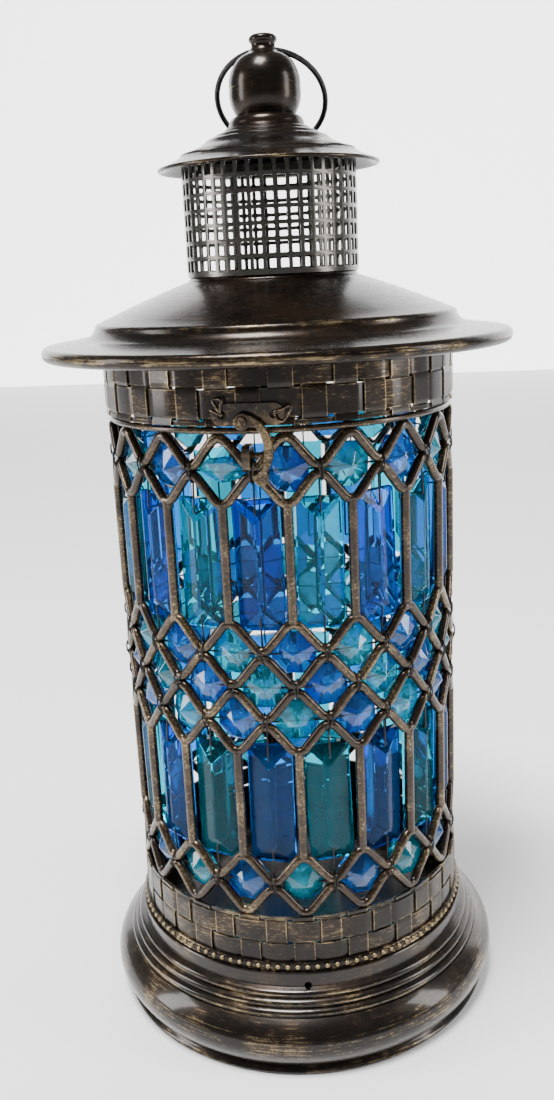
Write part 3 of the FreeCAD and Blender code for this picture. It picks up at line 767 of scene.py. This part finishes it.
class LANTERN_OT_trim(bpy.types.Operator):
    """Row of small domes between two milled edges, round the foot of the lower band"""
    bl_idname = "lantern.trim"
    bl_label = "Beaded trim"

    edge_stand = 0.35 * MM
    edge_height = 0.6 * MM
    notch = 0.9965
    steps_per_dome = 3
    dome_sunk = 0.2 * MM
    dome_rubbed = 0.8 * MM

    def execute(self, context):
        sizes = context.scene.lantern_sizes
        bottom = low("trim_strip").z
        top = high("trim_strip").z
        face = CAGE_RADIUS + 0.7 * MM
        back = CAGE_RADIUS - 0.1 * MM
        ridge = face + self.edge_stand
        points = [(back, bottom)]
        for start in (bottom, top - self.edge_height):
            points += [(face, start), (ridge, start + self.edge_height / 2)]
            points += [(face, start + self.edge_height)]
        points += [(back, top)]
        steps = self.steps_per_dome * sizes.dome_count
        strip = spun(points, steps)
        edge = face + 0.2 * MM

        def notched(v):
            step = round(math.atan2(v.co.y, v.co.x) / (2 * math.pi) * steps)
            return math.hypot(v.co.x, v.co.y) > edge and step % 2 == 0

        choose(strip, "vertices", notched)
        bpy.ops.transform.resize(value=(self.notch, self.notch, 1.0), center_override=(0, 0, 0))
        done(strip)
        keep_rub(strip, lambda co: -0.3 if math.hypot(co.x, co.y) < edge else 0.0)
        deselect()
        bpy.ops.mesh.primitive_uv_sphere_add(segments=10, ring_count=6, radius=sizes.dome_width / 2,
                                             location=(0, -face, (bottom + top) / 2), rotation=UPRIGHT)
        dome = settle(context.object)
        cut(dome, (0, -face + self.dome_sunk, 0), (0, -1, 0), clear_inner=True, use_fill=True)
        keep_rub(dome, lambda co: ease((-co.y - face) / self.dome_rubbed))
        around(dome, sizes.dome_count)
        hand_over(join([strip, dome]), "beaded_trim", "base", "gilt trim", ["trim_strip"],
                  smooth=50.0)
        return {"FINISHED"}


# Cage and jewels

class LANTERN_OT_cage(bpy.types.Operator):
    """Finish of the bent zigzag wires, the bars, the ring and the tie wires"""
    bl_idname = "lantern.cage"
    bl_label = "Wire cage"

    def execute(self, context):
        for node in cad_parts:
            if node.startswith("zigzag_wire") or node.endswith("_bars"):
                paint_nodes("cage bronze", node)
            elif node.startswith("bead_tie") or node.startswith("prism_ties"):
                paint_nodes("black wire", node)
        paint_nodes("cage bronze", "top_ring", "latch_cross_bar")
        return {"FINISHED"}


def front_or_back(face):
    """Whether a face of a jewel looks to the front or the back."""
    return abs(face.normal.y) > 0.9


def polished(piece):
    """Small polished edges between the facets."""
    return modify(piece, "BEVEL", width=bpy.context.scene.lantern_sizes.facet_edge, segments=1,
                  limit_method="ANGLE", angle_limit=math.radians(5))


def bead_pattern(crown, girdle, width):
    """Octagon bead about the origin, facing the front, with eight facets to a point on each side."""
    corner = width / 2 / math.cos(math.pi / 8)
    deselect()
    bpy.ops.mesh.primitive_cylinder_add(vertices=8, radius=corner, depth=girdle,
                                        rotation=(math.pi / 2, math.pi / 8, 0))
    piece = settle(bpy.context.object)
    choose(piece, "polygons", front_or_back)
    bpy.ops.mesh.poke(offset=crown)
    done(piece)
    return polished(piece)


def prism_pattern(width, length, girdle, crown):
    """Long prism about the origin, facing the front, with a hipped ridge on each side."""
    hip = 0.94 * width / 2
    deselect()
    bpy.ops.mesh.primitive_cube_add(size=1.0)
    piece = bpy.context.object
    piece.scale = (width, girdle, length)
    settle(piece)
    choose(piece, "polygons", front_or_back)
    bpy.ops.mesh.inset(thickness=hip, depth=crown)
    done(piece)
    return polished(piece)


def strung(column, radius, z, yaw, pitch, roll):
    """Place of a jewel: its own small turns, then out to the cage at a column and a height."""
    small = Matrix.Rotation(yaw, 4, "Z") @ Matrix.Rotation(pitch, 4, "X") @ Matrix.Rotation(roll, 4, "Y")
    return Matrix.Rotation(column * COLUMN_STEP, 4, "Z") @ Matrix.Translation((0, -radius, z)) @ small


class LANTERN_OT_beads(bpy.types.Operator):
    """Five rows of octagon acrylic beads, strung a little askew"""
    bl_idname = "lantern.beads"
    bl_label = "Octagon beads"

    crown = 3.5 * MM
    girdle = 1.6 * MM
    depth = 5.4 * MM
    lean_spread = math.radians(6)
    roll_spread = math.radians(5)
    turned_column = COLUMNS - 0.5
    turned_pitch = math.radians(58)

    def execute(self, context):
        chance = random.Random(11)
        for row in range(1, BEAD_ROWS + 1):
            for colour in ("blue", "teal"):
                node = f"beads_{row}_{colour}"
                width = high(node).z - low(node).z
                radius = reach(node) - self.depth
                shift = 0 if row == MIDDLE_ROW else 0.5
                odd = (colour == "teal") == (row < MIDDLE_ROW)
                places = []
                for k in range(COLUMNS // 2):
                    column = 2 * k + odd + shift
                    yaw = chance.gauss(0, self.lean_spread)
                    pitch = chance.gauss(0, self.lean_spread)
                    roll = chance.gauss(0, self.roll_spread)
                    if row == 1 and column == self.turned_column:
                        pitch = self.turned_pitch
                    places.append(strung(column, radius, middle(node), yaw, pitch, roll))
                beads = copies(bead_pattern(self.crown, self.girdle, width), places)
                piece = keep_facet_light_and_shade(join(beads), chance)
                hand_over(piece, f"octagon_beads_{row}_{colour}", "base",
                          f"{colour} bead", [node], smooth=0)
        return {"FINISHED"}


class LANTERN_OT_prisms(bpy.types.Operator):
    """Two rows of long acrylic prisms with hipped ridges"""
    bl_idname = "lantern.prisms"
    bl_label = "Long prisms"

    crown = 2.6 * MM
    girdle = 2.4 * MM
    width = 14.4 * MM
    yaw_spread = math.radians(2)
    roll_spread = math.radians(0.8)

    def execute(self, context):
        chance = random.Random(5)
        for row in ("upper", "lower"):
            for odd, colour in enumerate(("blue", "teal")):
                node = f"prisms_{row}_{colour}"
                length = high(node).z - low(node).z
                radius = reach(node) - self.crown - self.girdle / 2
                places = []
                for k in range(COLUMNS // 2):
                    yaw = chance.gauss(0, self.yaw_spread)
                    roll = chance.gauss(0, self.roll_spread)
                    places.append(strung(2 * k + odd, radius, middle(node), yaw, 0, roll))
                prisms = copies(prism_pattern(self.width, length, self.girdle, self.crown), places)
                piece = keep_facet_light_and_shade(join(prisms), chance)
                hand_over(piece, f"long_prisms_{row}_{colour}", "base",
                          f"{colour} prism", [node], smooth=0)
        return {"FINISHED"}


class LANTERN_OT_windings(bpy.types.Operator):
    """Loops of black tie wire wound round the joints of the lattice beside the beads"""
    bl_idname = "lantern.windings"
    bl_label = "Joint windings"

    loop_radius = 1.95 * MM
    loop_wire = 0.25 * MM
    loop_stretch = (1.75, 1.0, 1.0)
    turn_spread = math.radians(14)
    least_shift = 0.3 * MM
    most_shift = 0.7 * MM

    def execute(self, context):
        chance = random.Random(7)
        places = []
        wire_centre = CAGE_RADIUS - 1.5 * MM
        for row in range(1, BEAD_ROWS + 1):
            z = middle(f"beads_{row}_blue")
            shift = 0.5 if row == MIDDLE_ROW else 0
            for k in range(COLUMNS):
                for side in (-1, 1):
                    turn = Matrix.Rotation(chance.gauss(0, self.turn_spread), 4, "Y")
                    away = side * chance.uniform(self.least_shift, self.most_shift)
                    place = Matrix.Translation((away, -wire_centre, z))
                    places.append(Matrix.Rotation((k + shift) * COLUMN_STEP, 4, "Z") @ place @ turn)
        deselect()
        bpy.ops.mesh.primitive_torus_add(major_radius=self.loop_radius, minor_radius=self.loop_wire,
                                         major_segments=10, minor_segments=4,
                                         rotation=(0, math.pi / 2, 0))
        loop = context.object
        loop.scale = self.loop_stretch
        settle(loop)
        hand_over(join(copies(loop, places)), "joint_windings", "base", "black wire", [],
                  smooth=60.0)
        return {"FINISHED"}


# Lid

class LANTERN_OT_roof(bpy.types.Operator):
    """Spun roof: collar, cone, rounded shoulder, cove and brim with a rolled edge"""
    bl_idname = "lantern.roof"
    bl_label = "Spun roof"

    collar = 27.2 * MM
    wall = 1.0 * MM
    roll = 2.2 * MM
    cone_bulge = 0.35 * MM
    shoulder_bulge = 0.45 * MM
    cove_hollow = 1.0 * MM

    def execute(self, context):
        brim = reach("roof")
        bottom = low("roof").z
        top = high("roof").z
        shoulder = (CAGE_RADIUS + 1.6 * MM, bottom + 9.2 * MM)
        cone_end = (shoulder[0] - 1.5 * MM, shoulder[1] + 1.7 * MM)
        cone_foot = (self.collar + 0.9 * MM, top - 3.2 * MM)
        cove_end = (shoulder[0] + 5.4 * MM, bottom + 5.9 * MM)
        roll_centre = (brim - self.roll, bottom + self.roll)
        roll_top = bottom + 2 * self.roll
        roll_inside = roll_centre[0] - self.roll
        under_cove = (cove_end[0], cove_end[1] - self.wall)
        points = [(self.collar, top), (self.collar + 0.3 * MM, cone_foot[1] + 0.7 * MM), cone_foot]
        points += bow(cone_foot, cone_end, self.cone_bulge)
        points += bow(cone_end, shoulder, self.shoulder_bulge, 6)
        points += bow(shoulder, cove_end, -self.cove_hollow)
        points += [(roll_centre[0] - 3.0 * MM, roll_top + 0.35 * MM)]
        points += circle(roll_centre, self.roll, 90, -90, 14)
        points += [(roll_centre[0] - 1.4 * MM, bottom + 0.5 * MM), (roll_inside, roll_centre[1])]
        points += [(roll_inside, roll_top - self.wall), under_cove]
        points += bow(under_cove, within(shoulder, self.wall), 0.8 * MM, 6)
        points += [within(cone_end, self.wall), within(cone_foot, self.wall)]
        points += [(self.collar - self.wall, top)]
        piece = spun(points)
        keep_rub(piece, near([(shoulder[0] - 0.5 * MM, shoulder[1] + 0.8 * MM, 1.1 * MM, 0.5),
                              (brim, roll_centre[1], 2.0 * MM, 0.5), (self.collar, top, 2 * MM, 0.2)]))
        hand_over(piece, "spun_roof", "lid", "roof bronze", ["roof"], smooth=40.0)
        return {"FINISHED"}


def sheet_panel(wide, tall, place):
    """Flat upright panel that faces the front."""
    deselect()
    bpy.ops.mesh.primitive_plane_add(size=1.0, rotation=UPRIGHT, location=place)
    bpy.context.object.scale = (wide, tall, 1)
    return settle(bpy.context.object)


class LANTERN_OT_chimney(bpy.types.Operator):
    """Chimney screen pierced with rows of rounded square holes"""
    bl_idname = "lantern.chimney"
    bl_label = "Chimney screen"

    columns = 44
    rows = 7
    pitch = 4.7 * MM
    hem = 0.95 * MM
    half_bar = 0.58 * MM
    hole_corner = 0.4 * MM
    sheet = 0.7 * MM
    rubbed_depth = 0.4 * MM
    same_place = 0.2 * MM

    def execute(self, context):
        radius = reach("chimney_screen")
        bottom = low("chimney_screen").z
        top = high("chimney_screen").z
        flat = radius * math.cos(math.pi / self.columns)
        wide = 2 * radius * math.sin(math.pi / self.columns)
        net_foot = bottom + self.hem
        net_top = net_foot + self.rows * self.pitch
        hole = Vector((0, -flat, net_foot + self.pitch / 2))
        cell = sheet_panel(wide, self.pitch, hole)
        edit(cell, action="SELECT")
        bpy.ops.mesh.inset(thickness=self.half_bar)
        bpy.ops.mesh.select_mode(type="VERT")
        bpy.ops.mesh.bevel(offset=self.hole_corner, segments=2, affect="VERTICES")
        bpy.ops.mesh.select_mode(type="FACE")
        done(cell)
        choose(cell, "polygons", lambda f: (f.center - hole).length < self.same_place)
        bpy.ops.mesh.delete(type="FACE")
        done(cell)
        modify(cell, "ARRAY", count=self.rows, use_relative_offset=False, use_constant_offset=True,
               constant_offset_displace=(0, 0, self.pitch), use_merge_vertices=True,
               merge_threshold=0.01 * MM)
        hems = [sheet_panel(wide, end - start, (0, -flat, (start + end) / 2))
                for start, end in ((bottom, net_foot), (net_top, top))]
        screen = around(join([cell] + hems), self.columns)
        tidy(screen)
        modify(screen, "SOLIDIFY", thickness=self.sheet, offset=-1.0)
        rubbed = radius - self.rubbed_depth
        keep_rub(screen, lambda co: ease((math.hypot(co.x, co.y) - rubbed) / self.rubbed_depth) * 0.8)
        hand_over(screen, "pierced_chimney", "lid", "pewter", ["chimney_screen"],
                  smooth=40.0)
        return {"FINISHED"}


class LANTERN_OT_cap(bpy.types.Operator):
    """Small spun cap with ridges round its hub and a rolled rim, and the ring's and screw's finish"""
    bl_idname = "lantern.cap"
    bl_label = "Spun cap"

    screw_hole = 2.05 * MM
    hub = 11.4 * MM
    wall = 0.9 * MM
    ridges = 3
    ridge_run = 3.0 * MM
    ridge_fall = 1.5 * MM
    ridge_bulge = 0.42 * MM
    rim_roll = 0.6 * MM

    def execute(self, context):
        rim = reach("cap")
        bottom = low("cap").z
        top = high("finial_screw").z - 8.0 * MM
        brow = (rim - 1.5 * MM, bottom + 1.5 * MM)
        under_ridges = (28.0 * MM, top - 8.0 * MM)
        points = [(self.screw_hole, top), (self.hub, top)]
        spots = [(rim, bottom + 0.8 * MM, 1.4 * MM, 0.35)]
        for _ in range(self.ridges):
            start = points[-1]
            end = (start[0] + self.ridge_run, start[1] - self.ridge_fall)
            points += bow(start, end, self.ridge_bulge, 6)
            spots.append((start[0] + self.ridge_run * 0.6, start[1] - 0.3 * MM, 0.8 * MM, 0.3))
        points += bow(points[-1], brow, -0.3 * MM)
        points += circle((rim - self.rim_roll, bottom + self.rim_roll), self.rim_roll, 75, -110, 8)
        points += [within(brow, self.wall), under_ridges]
        points += [(self.hub, top - self.wall), (self.screw_hole, top - self.wall)]
        piece = spun(points)
        keep_rub(piece, near(spots))
        hand_over(piece, "spun_cap", "lid", "roof bronze", ["cap"], smooth=40.0)
        paint_nodes("black wire", "finial_screw", "hanging_ring")
        return {"FINISHED"}


class LANTERN_OT_finial(bpy.types.Operator):
    """Turned finial: flared foot, waist, ball, neck with the ring's cross hole, and button"""
    bl_idname = "lantern.finial"
    bl_label = "Turned finial"

    centre = 0.4 * MM
    hole_radius = 1.75 * MM
    hole_depth = 20.0 * MM

    def execute(self, context):
        top = high("finial").z
        foot = low("finial").z
        ball = reach("finial") - 0.1 * MM
        foot_edge = (12.3 * MM, foot)
        flare = (12.0 * MM, foot + 0.5 * MM)
        waist = (9.4 * MM, top - 23.6 * MM)
        belly = (ball, top - 15.8 * MM)
        brow = (9.0 * MM, top - 8.0 * MM)
        neck_foot = (6.0 * MM, top - 5.8 * MM)
        neck_top = (3.75 * MM, top - 3.6 * MM)
        button_foot = (3.8 * MM, top - 2.7 * MM)
        button_top = (3.4 * MM, top - 0.2 * MM)
        points = [(self.centre, foot), foot_edge, flare]
        points += bow(flare, waist, -0.7 * MM)
        points += bow(waist, belly, -0.75 * MM)
        points += bow(belly, brow, -0.8 * MM)
        points += bow(brow, neck_foot, -0.25 * MM, 5)
        points += bow(neck_foot, neck_top, 0.35 * MM, 6)
        points += [button_foot]
        points += bow(button_foot, button_top, -0.9 * MM)
        points += [(2.4 * MM, top - 0.05 * MM), (self.centre, top)]
        piece = spun(points, steps=96)
        hole = (0, 0, top - 4.5 * MM)
        drilled(piece, self.hole_radius, self.hole_depth, 24, hole, (0, math.pi / 2, 0))
        keep_rub(piece, near([(ball, belly[1], 3 * MM, 0.3), (4.2 * MM, top - 1.4 * MM, 1.5 * MM, 0.2)]))
        hand_over(piece, "turned_finial", "lid", "roof bronze", ["finial"], smooth=40.0)
        return {"FINISHED"}


# Pieces of the latch, with their bodies and finishes
LATCH_PIECES = (
    ("latch_plate", "lid", "latch bronze"),
    ("latch_rivet", "lid", "latch brass"),
    ("latch_hook", "hook", "latch brass"),
    ("latch_staple", "base", "latch bronze"),
)

# Bends of the two tie wires, in millimetres across, back and up from the plate's holes
LEFT_TIE = ((0.4, 0.3, 0.0), (-0.3, -0.5, 1.2), (-1.3, -0.5, 3.2), (-1.9, -0.4, 4.5), (-0.9, -0.4, 4.9),
            (0.8, -0.4, 4.5), (0.6, -0.5, 3.0), (0.1, -0.5, 1.0), (0.2, 0.3, -0.3))
RIGHT_TIE = ((-0.4, 0.3, 0.4), (0.6, -0.5, 1.0), (2.6, -0.4, 1.6), (4.1, -0.3, 2.6), (4.6, -0.3, 1.4),
             (3.6, -0.4, 0.2), (3.0, -0.4, -1.2), (1.6, -0.5, -2.4), (0.2, -0.5, -1.2), (-0.2, 0.3, 0.0))


class LANTERN_OT_latch(bpy.types.Operator):
    """Latch plate, rivet, hook and staple with rounded edges, the bent tie wires, and the hinge's finish"""
    bl_idname = "lantern.latch"
    bl_label = "Latch and hinge"

    hole_inset = 2.7 * MM

    def execute(self, context):
        sizes = context.scene.lantern_sizes
        for node, body, metal in LATCH_PIECES:
            piece = solid_copy(node)
            modify(piece, "BEVEL", width=sizes.edge_round, segments=2, limit_method="ANGLE",
                   angle_limit=math.radians(40))
            tidy(piece)
            hand_over(piece, node + "_rounded", body, metal, [node], smooth=12.0)
        left = low("latch_plate").x + self.hole_inset
        right = high("latch_plate").x - self.hole_inset
        front = low("latch_plate").y
        wires = []
        for x, bends in ((left, LEFT_TIE), (right, RIGHT_TIE)):
            hole = Vector((x, front, middle("latch_plate")))
            wires.append(bent_wire([hole + Vector(bend) * MM for bend in bends], sizes.tie_width))
        hand_over(join(wires), "latch_tie_ends", "lid", "latch brass", [], smooth=60.0)
        paint_nodes("latch brass", "latch_ties")
        paint_nodes("spun bronze", "hinge_lid_leaf", "hinge_body_leaf")
        paint_nodes("black wire", "hinge_pin", "hinge_rivets")
        return {"FINISHED"}


# Studio

def stage_plane(name, material, width, place=(0, 0, 0), turn=(0, 0, 0), scale=(1, 1, 1)):
    """Floor or backdrop."""
    deselect()
    bpy.ops.mesh.primitive_plane_add(size=width, location=place, rotation=turn)
    plane = bpy.context.object
    plane.name = name
    plane.scale = scale
    plane.data.materials.append(finish(material))


def add_light(scene, name, place, width, height, power):
    """Soft light that looks at the lantern."""
    lamp = bpy.data.lights.new(name, "AREA")
    lamp.shape = "RECTANGLE"
    lamp.size = width
    lamp.size_y = height
    lamp.energy = power
    light = bpy.data.objects.new(name, lamp)
    light.location = place
    light.rotation_euler = (LIGHT_AIM - Vector(place)).to_track_quat("-Z", "Y").to_euler()
    scene.collection.objects.link(light)


def add_camera(scene):
    """Camera at the photograph's angle."""
    lens = bpy.data.cameras.new("camera")
    lens.sensor_fit = "VERTICAL"
    lens.sensor_height = SENSOR
    lens.lens = SENSOR * FOCAL_PIXELS / PHOTO_HEIGHT
    lens.clip_start = NEAREST_SEEN
    camera = bpy.data.objects.new("camera", lens)
    forward = Vector((math.sin(CAMERA_YAW) * math.cos(CAMERA_PITCH),
                      math.cos(CAMERA_YAW) * math.cos(CAMERA_PITCH), math.sin(CAMERA_PITCH)))
    right = Vector((math.cos(CAMERA_YAW), -math.sin(CAMERA_YAW), 0))
    up = right.cross(forward)
    across = right * math.cos(CAMERA_ROLL) + up * math.sin(CAMERA_ROLL)
    upward = up * math.cos(CAMERA_ROLL) - right * math.sin(CAMERA_ROLL)
    turn = Matrix((across, upward, -forward)).transposed()
    camera.matrix_world = Matrix.Translation(CAMERA_PLACE) @ turn.to_4x4()
    scene.collection.objects.link(camera)
    scene.camera = camera


class LANTERN_OT_stage(bpy.types.Operator):
    """Pale floor, lit backdrop, soft light and the camera at the photograph's angle"""
    bl_idname = "lantern.stage"
    bl_label = "Studio"

    def execute(self, context):
        scene = context.scene
        stage_plane("floor", "floor", FLOOR_WIDTH)
        stage_plane("backdrop", "lit backdrop", 1.0, BACKDROP_PLACE, UPRIGHT, BACKDROP_SIZE)
        world = bpy.data.worlds.new("studio")
        world.use_nodes = True
        glow = world.node_tree.nodes["Background"].inputs
        glow["Color"].default_value = (1.0, 1.0, 1.0, 1.0)
        glow["Strength"].default_value = ROOM_GLOW
        scene.world = world
        for light in LIGHTS:
            add_light(scene, *light)
        add_camera(scene)
        return {"FINISHED"}


OPERATORS = (LANTERN_OT_stage, LANTERN_OT_base, LANTERN_OT_bands, LANTERN_OT_trim, LANTERN_OT_cage,
             LANTERN_OT_beads, LANTERN_OT_prisms, LANTERN_OT_windings, LANTERN_OT_roof, LANTERN_OT_chimney,
             LANTERN_OT_cap, LANTERN_OT_finial, LANTERN_OT_latch)


class LANTERN_PT_panel(bpy.types.Panel):
    """Sidebar panel that lists the lantern's steps and settings"""
    bl_idname = "LANTERN_PT_panel"
    bl_label = "Lantern"
    bl_space_type = "VIEW_3D"
    bl_region_type = "UI"
    bl_category = "Lantern"

    def draw(self, context):
        for operator in OPERATORS:
            self.layout.operator(operator.bl_idname)
        for group in (context.scene.lantern_sizes, context.scene.lantern_colours):
            for name in group.bl_rna.properties.keys():
                if name not in ("rna_type", "name"):
                    self.layout.prop(group, name)


CLASSES = (LanternSizes, LanternColours, *OPERATORS, LANTERN_PT_panel)


def register():
    for each in CLASSES:
        bpy.utils.register_class(each)
    bpy.types.Scene.lantern_sizes = bpy.props.PointerProperty(type=LanternSizes)
    bpy.types.Scene.lantern_colours = bpy.props.PointerProperty(type=LanternColours)


def unregister():
    del bpy.types.Scene.lantern_colours
    del bpy.types.Scene.lantern_sizes
    for each in reversed(CLASSES):
        bpy.utils.unregister_class(each)


def main():
    register()
    for operator in OPERATORS:
        group, name = operator.bl_idname.split(".")
        getattr(getattr(bpy.ops, group), name)()


if __name__ == "__main__":
    main()
